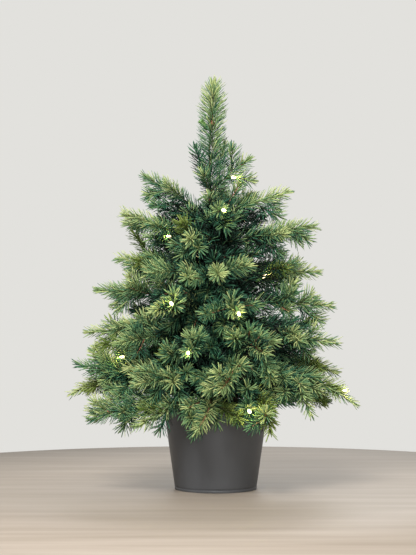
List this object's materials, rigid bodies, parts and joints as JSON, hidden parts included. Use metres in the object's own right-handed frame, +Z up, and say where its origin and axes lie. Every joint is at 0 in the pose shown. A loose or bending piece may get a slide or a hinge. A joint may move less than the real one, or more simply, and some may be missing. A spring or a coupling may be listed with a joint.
{
  "type": "artificial potted fir tree",
  "caption": "Small artificial fir on a wrapped pole, in tapered brushes of green needles with warm lights, standing in a plain tapered grey metal pot.",
  "frame": {"origin": "middle of the pot's flat underside", "axes": "+Z up along the pole, -Y towards the front"},
  "size_m": [0.6332, 0.539, 0.9],
  "materials": {
    "pot_grey": "satin",
    "cement": "matte",
    "pole_wrap": "matte",
    "bough_wrap": "matte",
    "needles": "matte"
  },
  "bodies": {
    "root": {"pot": "pot_grey", "cement_weight": "cement", "trunk_pole": "pole_wrap", "bough_low_1": "bough_wrap", "bough_low_2": "bough_wrap", "bough_low_3": "bough_wrap", "bough_low_4": "bough_wrap", "bough_low_5": "bough_wrap", "bough_low_6": "bough_wrap", "bough_low_7": "bough_wrap", "bough_low_8": "bough_wrap", "bough_second_1": "bough_wrap", "bough_second_2": "bough_wrap", "bough_second_3": "bough_wrap", "bough_second_4": "bough_wrap", "bough_second_5": "bough_wrap", "bough_second_6": "bough_wrap", "bough_second_7": "bough_wrap", "foliage_leader": "needles", "foliage_shoot_right": "needles", "foliage_shoot_left": "needles", "foliage_low_1": "needles", "foliage_low_2": "needles", "foliage_low_3": "needles", "foliage_low_4": "needles", "foliage_low_5": "needles", "foliage_low_6": "needles", "foliage_low_7": "needles", "foliage_low_8": "needles", "foliage_second_1": "needles", "foliage_second_2": "needles", "foliage_second_3": "needles", "foliage_second_4": "needles", "foliage_second_5": "needles", "foliage_second_6": "needles", "foliage_second_7": "needles", "foliage_third_1": "needles", "foliage_third_2": "needles", "foliage_third_3": "needles", "foliage_third_4": "needles", "foliage_third_5": "needles", "foliage_third_6": "needles", "foliage_fourth_1": "needles", "foliage_fourth_2": "needles", "foliage_fourth_3": "needles", "foliage_fourth_4": "needles", "foliage_fourth_5": "needles", "foliage_fifth_1": "needles", "foliage_fifth_2": "needles", "foliage_fifth_3": "needles", "foliage_fifth_4": "needles", "foliage_fifth_5": "needles", "foliage_sixth_1": "needles", "foliage_sixth_2": "needles", "foliage_sixth_3": "needles", "foliage_sixth_4": "needles", "foliage_top_1": "needles", "foliage_top_2": "needles", "foliage_top_3": "needles", "foliage_top_4": "needles"}
  },
  "joints": []
}
